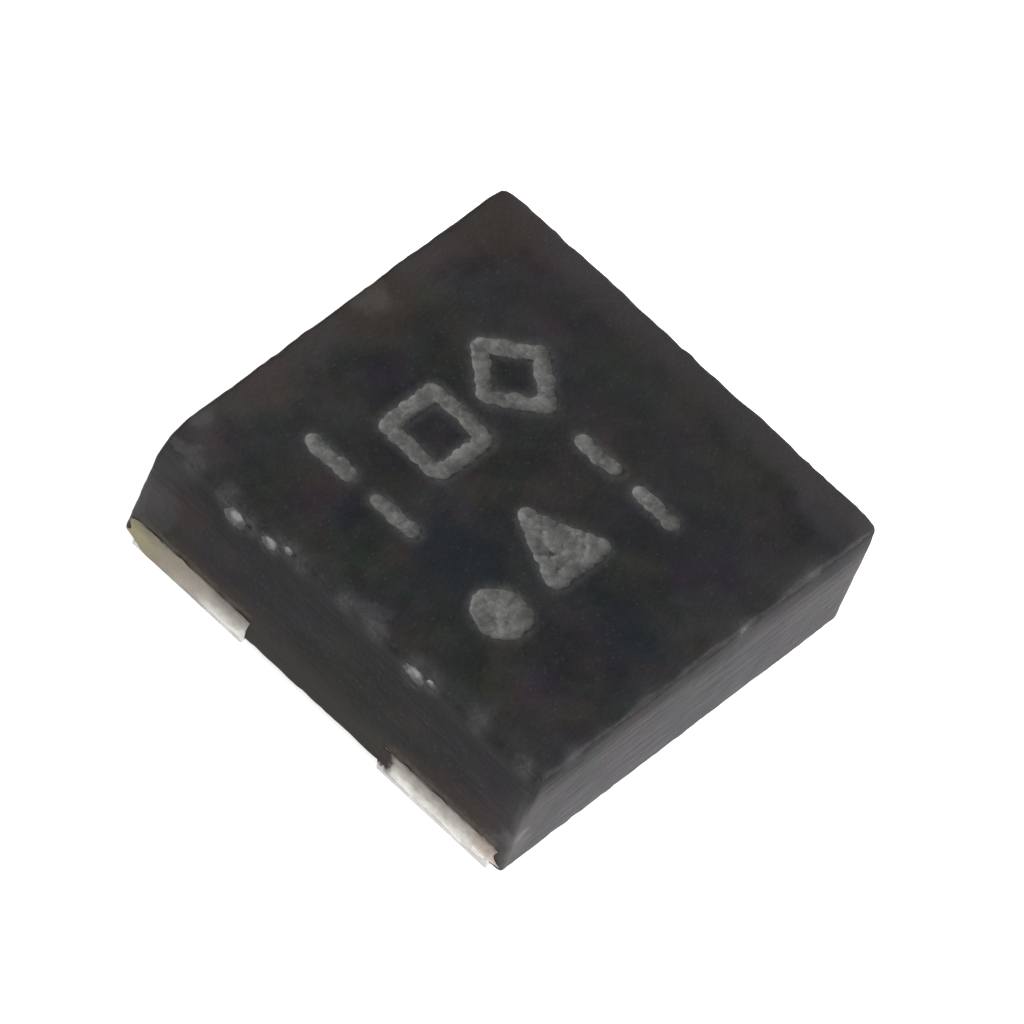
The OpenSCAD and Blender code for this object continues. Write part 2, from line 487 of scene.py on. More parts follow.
def sawnResin():
    look = resinColours
    material, tree, shader = newMaterial("sawnResin", 0.5, Specular_IOR_Level=0.14)
    where = place(tree)
    x, y, z = axes(tree)
    nearX, nearY = nearEdge(tree, x), nearEdge(tree, y)
    depth = sums(tree, "MULTIPLY", z, -1)
    plainSide = ramp(tree, nearY, [(0.006, 1.0), (0.016, 0.0)])
    leadSide = ramp(tree, nearX, [(0.010, 1.0), (0.020, 0.0)])
    fine, coarse = grain(tree, where, 0.012, 3, 0.6), grain(tree, where, 0.06, 3, 0.6)
    scratches = grain(tree, place(tree, (4, 4, 90)), 1.0, 4, 0.62)
    streaks = grain(tree, place(tree, (50, 50, 7)), 1.0, 3, 0.6)
    cloud = grain(tree, where, 0.12, 4, 0.64)
    colour = ramp(tree, cloud, [(0.34, look["sawnDark"]), (0.66, look["sawnLight"])])
    purple = ramp(tree, grain(tree, where, 0.19, 2), [(0.54, 0.0), (0.68, 0.6)])
    colour = mixed(tree, purple, colour, look["purple"])
    colour = tinted(tree, where, colour, 0.12, 0.55)
    # the two plain sides paler, mostly low down: saw dust, and painted light that makes them brighter than
    # the lead sides
    dust = both(tree, ramp(tree, depth, [(0.06, 0.0), (0.28, 0.70)]), plainSide)
    unevenPale = ramp(tree, grain(tree, where, 0.07, 5, 0.65), [(0.30, 0.35), (0.70, 1.0)])
    colour = mixed(tree, both(tree, dust, unevenPale), colour, look["dustAndLight"])
    # cut filler grains, some paler than the resin
    grains = ramp(tree, cells(tree, where, 0.013), [(0.28, 1.0), (0.36, 0.0)])
    kept = ramp(tree, cells(tree, where, 0.013, output="Color"), [(0.40, 0.0), (0.60, 0.20)])
    colour = mixed(tree, mixed(tree, 1.0, grains, kept, "MULTIPLY"), colour, look["filler"])
    colour = mixed(tree, ramp(tree, scratches, [(0.52, 0.0), (0.75, 0.12)]), colour, look["filler"])
    # the saw drags a little copper up from the leads, and the low edge is browner
    aboveLead = sums(tree, "SUBTRACT", z, leadTop)
    alongLead = sums(tree, "SUBTRACT", sums(tree, "ABSOLUTE", y, 0), leadMiddle)
    alongLead = sums(tree, "ABSOLUTE", alongLead, 0)
    smeared = band(tree, aboveLead, "overLeads", coarse, 0.07)
    smeared = both(tree, band(tree, alongLead, "leadEnds", coarse, 0.08), smeared)
    colour = mixed(tree, both(tree, leadSide, smeared), colour, look["coppered"])
    lowDown = band(tree, sums(tree, "ADD", z, bodyHeight), "lowDown", coarse, 0.08)
    colour = mixed(tree, both(tree, lowDown, leadSide), colour, look["olive"])
    # wear: wide along the upright edges and narrower along the rims of the lead sides, with painted shade
    # under the rims of the plain sides
    upright = reach(tree, nearX, nearY)
    colour = mixed(tree, band(tree, upright, "upright", coarse, 0.08), colour, look["worn"])
    edgeRub = both(tree, band(tree, upright, "uprightEdge", coarse, 0.03),
                   ramp(tree, streaks, [(0.40, 0.25), (0.60, 1.0)]))
    edgeRub = both(tree, edgeRub, ramp(tree, nearX, [(0.004, 1.0), (0.020, 0.08)]))
    colour = mixed(tree, edgeRub, colour, look["dusted"])
    for name, spot, radius, strength in sideStains:
        spread = stain(tree, where, spot, radius, (coarse, 0.13), strength)
        colour = mixed(tree, spread, colour, look[name])
    # the lead sides darker in their upper part
    upper = both(tree, band(tree, depth, "underLeadRim", coarse, 0.06), leadSide)
    colour = mixed(tree, upper, colour, look["sawnDark"])
    # painted shade: the plain sides darker just under their top rim
    shade = both(tree, band(tree, depth, "plainRimShade", coarse, 0.03), plainSide)
    colour = mixed(tree, shade, colour, look["dark"])
    rim = reach(tree, sums(tree, "MINIMUM", nearX, nearY), z)
    rubbed = both(tree, band(tree, rim, "rubbedRim", coarse, 0.05), leadSide)
    colour = mixed(tree, rubbed, colour, look["rubbed"])
    scuffed = both(tree, band(tree, rim, "scuffedRim", fine, 0.03), leadSide)
    colour = mixed(tree, scuffed, colour, look["scuffed"])
    colour = mixed(tree, painted(tree, "dust", where, 0.014, 0.75), colour, look["dusted"])
    # a ragged edge of metal dust just over each lead
    metalDust = both(tree, band(tree, alongLead, "metalDustEnds", fine, 0.02),
                     band(tree, aboveLead, "metalDust", fine, 0.03))
    colour = mixed(tree, both(tree, leadSide, metalDust), colour, look["metalDust"])
    tree.links.new(colour, shader.inputs["Base Color"])
    gloss = ramp(tree, scratches, [(0.3, 0.42), (0.7, 0.60)])
    gloss = sums(tree, "ADD", gloss, sums(tree, "MULTIPLY", shade, 0.30))
    tree.links.new(gloss, shader.inputs["Roughness"])
    grit = grain(tree, where, 0.011, 3, 0.6)
    bump(tree, shader, [(scratches, 0.0015, 0.5), (coarse, 0.004, 0.5), (grit, 0.0015, 0.7)])
    return material


def laseredResin():
    look = resinColours
    material, tree, shader = newMaterial("laseredResin", 0.85, Specular_IOR_Level=0.3)
    where = place(tree)
    cloud, crumb = grain(tree, where, 0.05, 3, 0.6), grain(tree, where, 0.011, 3, 0.6)
    colour = ramp(tree, cloud, [(0.30, look["ash"]), (0.60, look["lasered"])])
    colour = mixed(tree, ramp(tree, crumb, [(0.38, 0.40), (0.55, 0.0)]), colour, look["ash"])
    flecks = ramp(tree, grain(tree, where, 0.022, 2), [(0.56, 0.0), (0.72, 0.9)])
    colour = mixed(tree, flecks, colour, look["chipped"])
    tree.links.new(colour, shader.inputs["Base Color"])
    bump(tree, shader, [(crumb, 0.002, 0.7)])
    return material


def brokenResin():
    # pale in the middle of a chip, darker and dustier towards its border
    look = resinColours
    material, tree, shader = newMaterial("brokenResin", 0.65)
    where = place(tree)
    crumb, cloud = grain(tree, where, 0.008, 4, 0.65), grain(tree, where, 0.018, 3, 0.6)
    level = sums(tree, "ADD", paintOf(tree, "core"), centred(tree, cloud, 0.9))
    level = sums(tree, "ADD", level, centred(tree, crumb, 0.6))
    colour = ramp(tree, level, [(0.02, look["dusted"]), (0.32, look["chipped"]), (0.70, look["broken"])])
    tree.links.new(colour, shader.inputs["Base Color"])
    bump(tree, shader, [(crumb, 0.002, 0.8)])
    return material


def plainGrain(name, colour, other, size, roughness, depth, metallic=0.0):
    # one colour breaking into another, with a grain of the same size in the surface
    material, tree, shader = newMaterial(name, roughness, metallic)
    where = place(tree)
    cloud = grain(tree, where, size, 4, 0.65)
    tree.links.new(ramp(tree, cloud, [(0.32, colour), (0.68, other)]), shader.inputs["Base Color"])
    gloss = grain(tree, where, size * 0.6, 3)
    gloss = ramp(tree, gloss, [(0.3, roughness * 0.85), (0.7, roughness * 1.2)])
    tree.links.new(gloss, shader.inputs["Roughness"])
    bump(tree, shader, [(grain(tree, where, size * 0.5, 3, 0.6), depth, 0.8)])
    return material


leadColours = {
    "plated": (0.60, 0.585, 0.53),
    "platedDull": (0.44, 0.42, 0.37),
    "crystal": (0.70, 0.69, 0.65),
    "pit": (0.26, 0.24, 0.20),
    "paintedHighlight": (0.97, 0.96, 0.93),
    "cut": (0.56, 0.54, 0.49),
    "cutDull": (0.30, 0.285, 0.255),
    "cutDark": (0.14, 0.128, 0.112),
    "yellow": (0.40, 0.37, 0.235),
    "yellowDark": (0.17, 0.155, 0.105),
    "copper": (1.0, 0.84, 0.81),  # multiplied in
    "tarnished": (0.34, 0.29, 0.245),
}


def platedLead():
    # dull plating over rolled and etched copper
    look = leadColours
    material, tree, shader = newMaterial("platedLead", 0.4, 0.85)
    where = place(tree)
    x = axes(tree)["X"]
    rolled = grain(tree, place(tree, (70, 4, 4)), 1.0, 4, 0.6)
    cloud = grain(tree, where, 0.08, 4, 0.6)
    colour = ramp(tree, cloud, [(0.33, look["platedDull"]), (0.66, look["plated"])])
    # crystals of the plating, each a little different, under the rolling lines and pits
    crystals = ramp(tree, cells(tree, where, 0.030, output="Color"), [(0.30, 0.0), (0.70, 0.35)])
    colour = mixed(tree, crystals, colour, look["crystal"])
    colour = mixed(tree, ramp(tree, rolled, [(0.44, 0.0), (0.66, 0.60)]), colour, look["platedDull"])
    pits = ramp(tree, cells(tree, where, 0.024), [(0.08, 0.8), (0.18, 0.0)])
    colour = mixed(tree, pits, colour, look["pit"])
    # a painted highlight along the edge that the saw turned up
    edgeHighlight = fade(tree, nearEdge(tree, x), 0.012, 0.040, (cloud, 0.02), 0.85)
    colour = mixed(tree, edgeHighlight, colour, look["paintedHighlight"])
    tree.links.new(colour, shader.inputs["Base Color"])
    gloss = sums(tree, "ADD", ramp(tree, cloud, [(0.3, 0.30), (0.7, 0.44)]), centred(tree, rolled, 0.25))
    tree.links.new(gloss, shader.inputs["Roughness"])
    bump(tree, shader, [(rolled, 0.0016, 0.7), (grain(tree, where, 0.012, 3, 0.6), 0.0014, 0.8)])
    return material


def sawnLead():
    # a painted highlight along the foot that fades to duller metal towards the resin; the foot is also
    # glossier, where the saw wiped it last
    look = leadColours
    material, tree, shader = newMaterial("sawnLead", 0.5, 0.75)
    where = place(tree)
    spot = axes(tree)
    y, z = spot["Y"], spot["Z"]
    drag = grain(tree, place(tree, (3, 6, 60)), 1.0, 5, 0.65)
    coarse, fine = grain(tree, where, 0.06, 3, 0.6), grain(tree, where, 0.014, 3, 0.6)
    uneven = sums(tree, "ADD", centred(tree, coarse, 0.5), centred(tree, fine, 0.25))
    height = sums(tree, "MULTIPLY", sums(tree, "SUBTRACT", z, footBottom), 10)
    height = sums(tree, "ADD", height, uneven)
    # painted highlight: the colour is near white at the foot and darkens with height
    highlightFade = [(0.16, "paintedHighlight"), (0.42, "cut"), (0.66, "cutDull"), (0.82, "cutDark")]
    colour = ramp(tree, height, [(level, look[name]) for level, name in highlightFade])
    # yellow tarnish near one corner of the body, darker upwards as the painted highlight fades, and copper
    # dragged up near the other
    yellow = fade(tree, sums(tree, "SUBTRACT", halfSide, y), 0.08, 0.18, (coarse, 0.10))
    yellowed = ramp(tree, height, [(0.42, look["yellow"]), (0.80, look["yellowDark"])])
    colour = mixed(tree, yellow, colour, yellowed)
    tarnish = stain(tree, where, (-0.5, 0.35, -0.29), 0.11, (coarse, 0.08), 0.85)
    colour = mixed(tree, tarnish, colour, look["tarnished"])
    pink = fade(tree, sums(tree, "ADD", halfSide, y), 0.055, 0.10, (coarse, 0.08))
    pink = both(tree, ramp(tree, height, [(0.25, 0.0), (0.45, 1.0)]), pink)
    colour = mixed(tree, pink, colour, look["copper"], "MULTIPLY")
    colour = mixed(tree, ramp(tree, drag, [(0.45, 0.0), (0.66, 0.35)]), colour, look["cutDull"])
    # resin dragged over the inner end of one lead, down to the foot
    overrun = stain(tree, where, (-0.5, -0.10, -0.285), 0.118, (fine, 0.03), 1.0, 0.87)
    overrun = both(tree, overrun, ramp(tree, height, [(0.10, 0.0), (0.22, 1.0)]))
    colour = mixed(tree, overrun, colour, resinColours["worn"])
    tree.links.new(colour, shader.inputs["Base Color"])
    gloss = ramp(tree, height, [(0.10, 0.20), (0.50, 0.52)])
    for mask, rough in ((yellow, 0.55), (overrun, 0.60)):
        gloss = sums(tree, "MAXIMUM", gloss, sums(tree, "MULTIPLY", mask, rough))
    tree.links.new(gloss, shader.inputs["Roughness"])
    bump(tree, shader, [(drag, 0.002, 0.6), (fine, 0.001, 0.6)])
    return material


finish = {
    "moulded": mouldedResin(),
    "sawn": sawnResin(),
    "broken": brokenResin(),
    "dull": plainGrain("dullResin", resinColours["rubbed"], resinColours["filler"], 0.012, 0.7, 0.002),
    "lasered": laseredResin(),
    "plated": platedLead(),
    "sawnLead": sawnLead(),
    "film": plainGrain("dieFilm", (0.52, 0.44, 0.24), (0.62, 0.54, 0.32), 0.03, 0.5, 0.001),
    "silicon": plainGrain("siliconDie", (0.10, 0.11, 0.14), (0.16, 0.17, 0.20), 0.05, 0.2, 0.0004, 0.4),
    "gold": plainGrain("goldWire", (0.85, 0.58, 0.20), (0.92, 0.68, 0.30), 0.02, 0.28, 0.0004, 1.0),
}
print("materials made", len(finish))


# Resin body

resinLook = {
    "cellsAcross": 80,
    "rows": 24,
    "closeRows": (0.0035, 0.0075),  # extra rows this far from each edge
    "uprightRadius": 0.012,
    "bottomRadius": 0.004,
    "nearRadius": 0.017,  # top edges on the sides next to pin 1, and the other two
    "farRadius": 0.010,
    "edgeWear": 0.0022,
    "wornReach": 0.016,
    "faceWave": 0.0010,
    "nearBand": 0.03,
    # how often the wear changes along a millimetre
    "patches": (13, 37),
    "crumbs": 55,
    "waves": 6,
    # place, reach, depth, and how much of that is downwards
    "wornCorners": [
        (-0.5, 0.5, 0.070, 0.013, 0.5), (0.5, 0.5, 0.045, 0.006, 0.5),
        (-0.5, -0.5, 0.050, 0.009, 0.5), (0.5, -0.5, 0.060, 0.012, 3.0),
    ],
}


def wearBody(body):
    # rounds the edges, then lets them crumble and the faces wave a little, always inwards
    look = resinLook
    turn = look["uprightRadius"]
    wide, narrow = look["patches"]
    middle = Vector((halfSide - turn, halfSide - turn))
    for vertex in body.data.vertices:
        spot = vertex.co.copy()
        flat = Vector((abs(spot.x), abs(spot.y)))
        arm = flat - middle
        across = turn - max(arm)
        if min(arm) > 0:
            outward = arm.normalized()
            flat = middle + outward * max(arm)
        else:
            outward = Vector((1, 0)) if arm.x > arm.y else Vector((0, 1))
        patchy = noise.noise(spot * wide + Vector((3, 1, 8))) + 0.45 * noise.noise(spot * narrow)
        onTop = -spot.z < bodyHeight / 2
        depth = -spot.z if onTop else spot.z + bodyHeight
        radius = look["bottomRadius"]
        if onTop:
            nearSide = min(spot.x, spot.y) + halfSide < look["nearBand"]
            radius = look["nearRadius" if nearSide else "farRadius"] * max(0.35, 0.9 + patchy)
        # where the point goes on the round edge, and which way is out there
        if max(across, depth) < radius:
            out = Vector((radius - across, radius - depth)).normalized()
            inward, sunk = radius - out.x * radius, radius - out.y * radius
        else:
            out = Vector((1, 0)) if across < depth else Vector((0, 1))
            inward, sunk = across, depth
        toEdge = sorted((halfSide - abs(spot.x), halfSide - abs(spot.y), depth))[1]
        crumbs = max(0.0, 0.35 + noise.noise(spot * look["crumbs"]))
        crumble = max(0.0, 1 - toEdge / look["wornReach"]) * crumbs
        push = crumble * look["edgeWear"] + (0.5 + 0.5 * noise.noise(spot * look["waves"])) * look["faceWave"]
        flat -= outward * (inward - across + push * out.x)
        sunk += push * out.y
        height = -sunk if onTop else sunk - bodyHeight
        vertex.co = (math.copysign(flat.x, spot.x), math.copysign(flat.y, spot.y), height)
        for x, y, far, deep, down in look["wornCorners"]:
            gap = (spot - Vector((x, y, 0))).length
            if gap < far:
                vertex.co += Vector((-x, -y, -down)).normalized() * deep * (1 - gap / far) ** 1.3


def makeBlock():
    look = resinLook
    half, drop, across = halfSide, bodyHeight, look["cellsAcross"]
    deselectAll()
    bpy.ops.mesh.primitive_grid_add(x_subdivisions=across, y_subdivisions=across, size=half * 2)
    body = newest("resinBody")
    openForEdit(body)
    bpy.ops.mesh.select_all(action="SELECT")
    for row in range(look["rows"]):
        bpy.ops.mesh.extrude_region_move(TRANSFORM_OT_translate={"value": (0, 0, -drop / look["rows"])})
    bpy.ops.mesh.select_all(action="SELECT")
    bpy.ops.mesh.normals_make_consistent(inside=False)
    for gap in look["closeRows"]:
        for where, normal in (
            ((half - gap, 0, 0), (1, 0, 0)), ((gap - half, 0, 0), (1, 0, 0)),
            ((0, half - gap, 0), (0, 1, 0)), ((0, gap - half, 0), (0, 1, 0)),
            ((0, 0, -gap), (0, 0, 1)), ((0, 0, gap - drop), (0, 0, 1)),
        ):
            bpy.ops.mesh.select_all(action="SELECT")
            bpy.ops.mesh.bisect(plane_co=where, plane_no=normal)
    closeEdit()
    wearBody(body)
    body.data.materials.append(finish["moulded"])
    body.data.materials.append(finish["sawn"])
    for face in body.data.polygons:
        face.material_index = 1 if abs(face.normal.z) < 0.5 else 0
    return body


nickLook = {
    # on the side with the lead ends: place along it, height, half width along, up and in
    "leadSide": [
        (0.294, -0.040, 0.029, 0.025, 0.014),
        (0.330, -0.012, 0.024, 0.009, 0.009),
        (0.262, -0.030, 0.012, 0.010, 0.008),
        (0.209, -0.026, 0.021, 0.017, 0.011),
        (0.167, -0.004, 0.015, 0.011, 0.012),
        (0.135, -0.010, 0.012, 0.008, 0.008),
        (0.020, -0.003, 0.015, 0.007, 0.006),
        (-0.060, -0.004, 0.020, 0.005, 0.005),
        (-0.170, -0.022, 0.034, 0.016, 0.012),
        (-0.205, -0.010, 0.022, 0.010, 0.011),
        (-0.330, -0.004, 0.018, 0.008, 0.010),
        (-0.452, -0.006, 0.017, 0.010, 0.009),
        (0.425, -0.006, 0.018, 0.010, 0.009),
    ],
    # along the rim of the side next to pin 1
    "nearSide": [
        (0.10, -0.006, 0.018, 0.009, 0.008),
        (-0.40, -0.003, 0.016, 0.009, 0.008),
        (0.31, -0.004, 0.015, 0.007, 0.006),
    ],
    # small bites out of the corners of the top
    "corners": [(-0.485, 0.5, 0.016), (0.5, 0.5, 0.018), (0.5, -0.5, 0.018), (-0.5, -0.49, 0.014)],
    "paleFrom": 0.0095,  # chips deeper than this show pale filler
    # how far a chip's middle lies outside the side, as a share of its depth, and its lean
    "chipOut": 0.35,
    "chipLean": 0.3,
    # how far a bite's middle lies outside and above the corner, as shares of its size
    "biteOut": 0.45,
    "biteUp": 0.35,
    "biteStretch": 1.1,
    # small crumbs missing all round, and the share of them that is on the top rim
    "crumbs": 70,
    "smallest": 0.003,
    "largest": 0.009,
    "crumbOut": (0.25, 0.7),
    "crumbUp": 0.4,
    "crumbStretch": (0.8, 1.6),
    "crumbsAlong": 0.97,
    "crumbsOnTop": 0.65,
    "dustReach": 0.028,
    "dustFrom": 0.05,  # how far from the two near sides dust is looked for
    "jitter": 0.10,
    "lumpSize": 0.9,
    "lumps": 0.75,
    "seed": 11,
}


def makeRock(steps):
    look = nickLook
    deselectAll()
    bpy.ops.mesh.primitive_ico_sphere_add(subdivisions=steps, radius=1)
    rock = newest("rock")
    openForEdit(rock, "VERT")
    bpy.ops.mesh.select_all(action="SELECT")
    bpy.ops.transform.vertex_random(offset=look["jitter"], uniform=1, normal=0, seed=4)
    closeEdit()
    clouds = bpy.data.textures.new("rockLumps", "CLOUDS")
    clouds.noise_scale = look["lumpSize"]
    lumps = rock.modifiers.new("lumps", "DISPLACE")
    lumps.texture = clouds
    lumps.strength = look["lumps"]
    bpy.ops.object.modifier_apply(modifier=lumps.name)
    return rock


def copyRock(rock, spot, size, turn=(0, 0, 0), roll=(0, 0, 0)):
    # rolled first, so that no two look alike, then stretched and turned to its place
    copy = rock.copy()
    copy.data = rock.data.copy()
    copy.data.transform(Euler(roll).to_matrix().to_4x4())
    copy.location, copy.scale, copy.rotation_euler = spot, size, turn
    bpy.context.scene.collection.objects.link(copy)
    return copy


def makeNicks():
    look, half = nickLook, halfSide
    draw = random.Random(look["seed"])

    def anyTurn():
        return [draw.uniform(0, fullTurn) for _ in range(3)]

    rock, dullRock, grit = makeRock(3), makeRock(3), makeRock(1)
    for piece, finishName in ((rock, "broken"), (dullRock, "dull"), (grit, "dull")):
        piece.data.materials.append(finish[finishName])
    nicks = []
    for along, height, wide, tall, deep in look["leadSide"]:
        spot = (-half - deep * look["chipOut"], along, height)
        turn = (draw.uniform(-look["chipLean"], look["chipLean"]), 0, 0)
        source = rock if deep > look["paleFrom"] else dullRock
        nicks.append(copyRock(source, spot, (deep, wide, tall), turn, anyTurn()))
    for along, height, wide, tall, deep in look["nearSide"]:
        spot = (along, -half - deep * look["chipOut"], height)
        nicks.append(copyRock(dullRock, spot, (wide, deep, tall), roll=anyTurn()))
    for x, y, size in look["corners"]:
        out = size * look["biteOut"]
        spot = (x + math.copysign(out, x), y + math.copysign(out, y), size * look["biteUp"])
        stretched = (size, size, size * look["biteStretch"])
        nicks.append(copyRock(dullRock, spot, stretched, roll=anyTurn()))
    for _ in range(look["crumbs"]):
        size = look["smallest"] + (look["largest"] - look["smallest"]) * draw.random() ** 2
        along = draw.uniform(-look["crumbsAlong"], look["crumbsAlong"]) * half
        sign = draw.choice((-1, 1))
        out = half + size * draw.uniform(*look["crumbOut"])
        spot = (sign * out, along) if draw.random() < 0.5 else (along, sign * out)
        top = draw.random() < look["crumbsOnTop"]
        up = size * look["crumbUp"]
        height = up if top else -bodyHeight - up
        stretch = draw.uniform(*look["crumbStretch"])
        nicks.append(copyRock(grit, (*spot, height), (size, size * stretch, size), anyTurn()))
    for piece in (rock, dullRock, grit):
        bpy.data.objects.remove(piece)
    return joinAll(nicks, "nicks")


# Plain shapes burnt into the top by laser, one pulse after another, in millimetres from its middle
markLook = {
    "pulse": 0.0190,
    "pulseDepth": 0.0055,
    "pulseSpread": (0.86, 1.16),  # smallest and largest pulse, and the same for its depth
    "depthSpread": (0.9, 1.25),
    "pulseHeight": 0.0008,  # middle of a pulse, above the top
    "step": 0.0115,
    "stray": 0.0030,
    "haloReach": 0.020,
    "haloDepth": 0.004,
    "seed": 5,
    "lines": [
        [(-0.27, 0.315), (-0.27, 0.215)],
        [(-0.27, 0.145), (-0.27, 0.045)],
        [(-0.125, 0.250), (0.015, 0.250), (0.015, 0.110), (-0.125, 0.110), (-0.125, 0.250)],
        [(0.17, 0.270), (0.255, 0.180), (0.17, 0.090), (0.085, 0.180), (0.17, 0.270)],
        [(-0.130, -0.200), (0.010, -0.200), (-0.060, -0.060), (-0.130, -0.200)],
        [(-0.090, -0.172), (-0.030, -0.172), (-0.060, -0.115), (-0.060, -0.150)],
        [(0.165, -0.005), (0.165, -0.095)],
        [(0.165, -0.155), (0.165, -0.245)],
    ],
    "dot": (-0.27, -0.185),
    "dotRadius": 0.060,
    "dotInset": 0.85,  # how far the outermost pulses stay inside it, as a share of a pulse
    "dotRings": (0.0, 0.4, 0.72, 1.0),
    "ringStep": 1.15,
}


def pulseSpots():
    look = markLook
    spots = []
    for line in look["lines"]:
        for start, end in zip(line, line[1:]):
            start, end = Vector(start), Vector(end)
            count = max(2, round((end - start).length / look["step"]))
            spots += [start.lerp(end, (n + 0.5) / count) for n in range(count)]
    inner = look["dotRadius"] - look["pulse"] * look["dotInset"]
    for share in look["dotRings"]:
        radius = inner * share
        count = max(1, round(2 * math.pi * radius / (look["step"] * look["ringStep"])))
        for n in range(count):
            angle = 2 * math.pi * n / count
            spots.append(Vector(look["dot"]) + Vector((math.cos(angle), math.sin(angle))) * radius)
    return spots


def makeMarks():
    look = markLook
    draw = random.Random(look["seed"])
    deselectAll()
    bpy.ops.mesh.primitive_ico_sphere_add(subdivisions=2, radius=1)
    pulse = newest("pulse")
    pulse.data.materials.append(finish["lasered"])
    pits = []
    for spot in pulseSpots():
        radius = look["pulse"] * draw.uniform(*look["pulseSpread"])
        stray = [draw.uniform(-1, 1) * look["stray"] for _ in range(2)]
        middle = (spot.x + stray[0], spot.y + stray[1], look["pulseHeight"])
        size = (radius, radius, look["pulseDepth"] * draw.uniform(*look["depthSpread"]))
        pits.append(copyRock(pulse, middle, size, (0, 0, draw.uniform(0, fullTurn))))
    bpy.data.objects.remove(pulse)
    return joinAll(pits, "pits")


def closeness(gap, reach, curve):
    # 1 at no gap, 0 at the reach
    return max(0.0, min(1.0, 1 - gap / reach)) ** curve


def paintWear(body):
    # how close each point is to a laser mark, to a larger chip, and to the middle of such a chip
    marks = pulseSpots()
    pale, faint = nickLook["leadSide"], nickLook["nearSide"]
    chips = [(Vector((-halfSide, along, height)), wide, 1.0) for along, height, wide, *_ in pale]
    chips += [(Vector((along, -halfSide, height)), wide, 0.45) for along, height, wide, *_ in faint]
    ash, dust, core = [body.data.attributes.new(name, "FLOAT", "POINT") for name in ("ash", "dust", "core")]
    for vertex in body.data.vertices:
        spot, index = vertex.co, vertex.index
        if spot.z > -markLook["haloDepth"]:
            gap = min((spot.xy - mark).length for mark in marks) - markLook["pulse"]
            ash.data[index].value = closeness(gap, markLook["haloReach"], 1.5)
        if min(spot.xy) < -halfSide + nickLook["dustFrom"]:
            dust.data[index].value = max(
                share * closeness((spot - chip).length - wide * 0.5, nickLook["dustReach"], 1.3)
                for chip, wide, share in chips
            )
            off = min(
                math.hypot((spot.y - along) / wide, (spot.z - height) / tall)
                for along, height, wide, tall, deep in pale
            )
            core.data[index].value = max(0.0, 1 - off)


def makePocket(nodeName):
    # the space that a piece takes in the resin, opened through the sawn side if it reaches that far
    pocket = solidOf(nodeName, "pocket")
    opening = 0.05
    for vertex in pocket.data.vertices:
        if abs(vertex.co.x) > halfSide - onFace:
            vertex.co.x += math.copysign(opening, vertex.co.x)
    pocket.data.materials.append(finish["sawn"])
    return pocket


pocketNodes = [
    "silicon_die", "die_film", "heat_pad",
    "wire_1_output", "wire_2_ground", "wire_3_enable", "wire_4_input",
    "lead_1_output", "lead_2_ground", "lead_3_enable", "lead_4_input",
]

resinBody = makeBlock()
print("block made, faces", len(resinBody.data.polygons))
pockets = makePocket(pocketNodes[0])
for nodeName in pocketNodes[1:]:
    combine(pockets, makePocket(nodeName), "UNION")
for cutter in (pockets, fuse(makeMarks()), fuse(makeNicks())):
    print("cutting the", cutter.name)
    combine(resinBody, cutter, "DIFFERENCE")
openForEdit(resinBody, "VERT")
bpy.ops.mesh.select_all(action="SELECT")
bpy.ops.mesh.remove_doubles(threshold=tooSmall)
bpy.ops.mesh.dissolve_degenerate(threshold=tooSmall)
closeEdit()
paintWear(resinBody)
smooth(resinBody)
bringToSize(resinBody)
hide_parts("resin_body")
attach(resinBody, "root")
print("resin body finished, faces", len(resinBody.data.polygons))


# Leads and heat pad

metalLook = {
    "edge": 0.004,
    "edgeSteps": 2,
    "smear": 0.0016,  # how far the sawn end stands out
    "cell": 0.010,
    "rough": 0.0012,
    "upper": 0.008,  # how far the smear strays past the lead's outline
    "side": 0.005,
    "under": 0.006,
    "slope": 0.025,  # how far in the saw has turned up the foot's edge
    "endReach": 0.040,  # the foot's outer corner is rounded off over this length
    "endWear": 0.022,
    # how often the outline changes along a millimetre
    "turns": 25,
    "ripples": 60,
    "strays": (32, 90),
    # for each lead: how far that edge is turned up at its inner and at its outer end,
    # and how far the smear reaches towards the corner of the body
    "turnedUp": {
        "leadOutput": (0.010, 0.009, 0.020),
        "leadGround": (0.006, 0.010, 0.012),
        "leadEnable": (0.010, 0.004, 0.008),
        "leadInput": (0.008, 0.000, 0.026),
    },
}


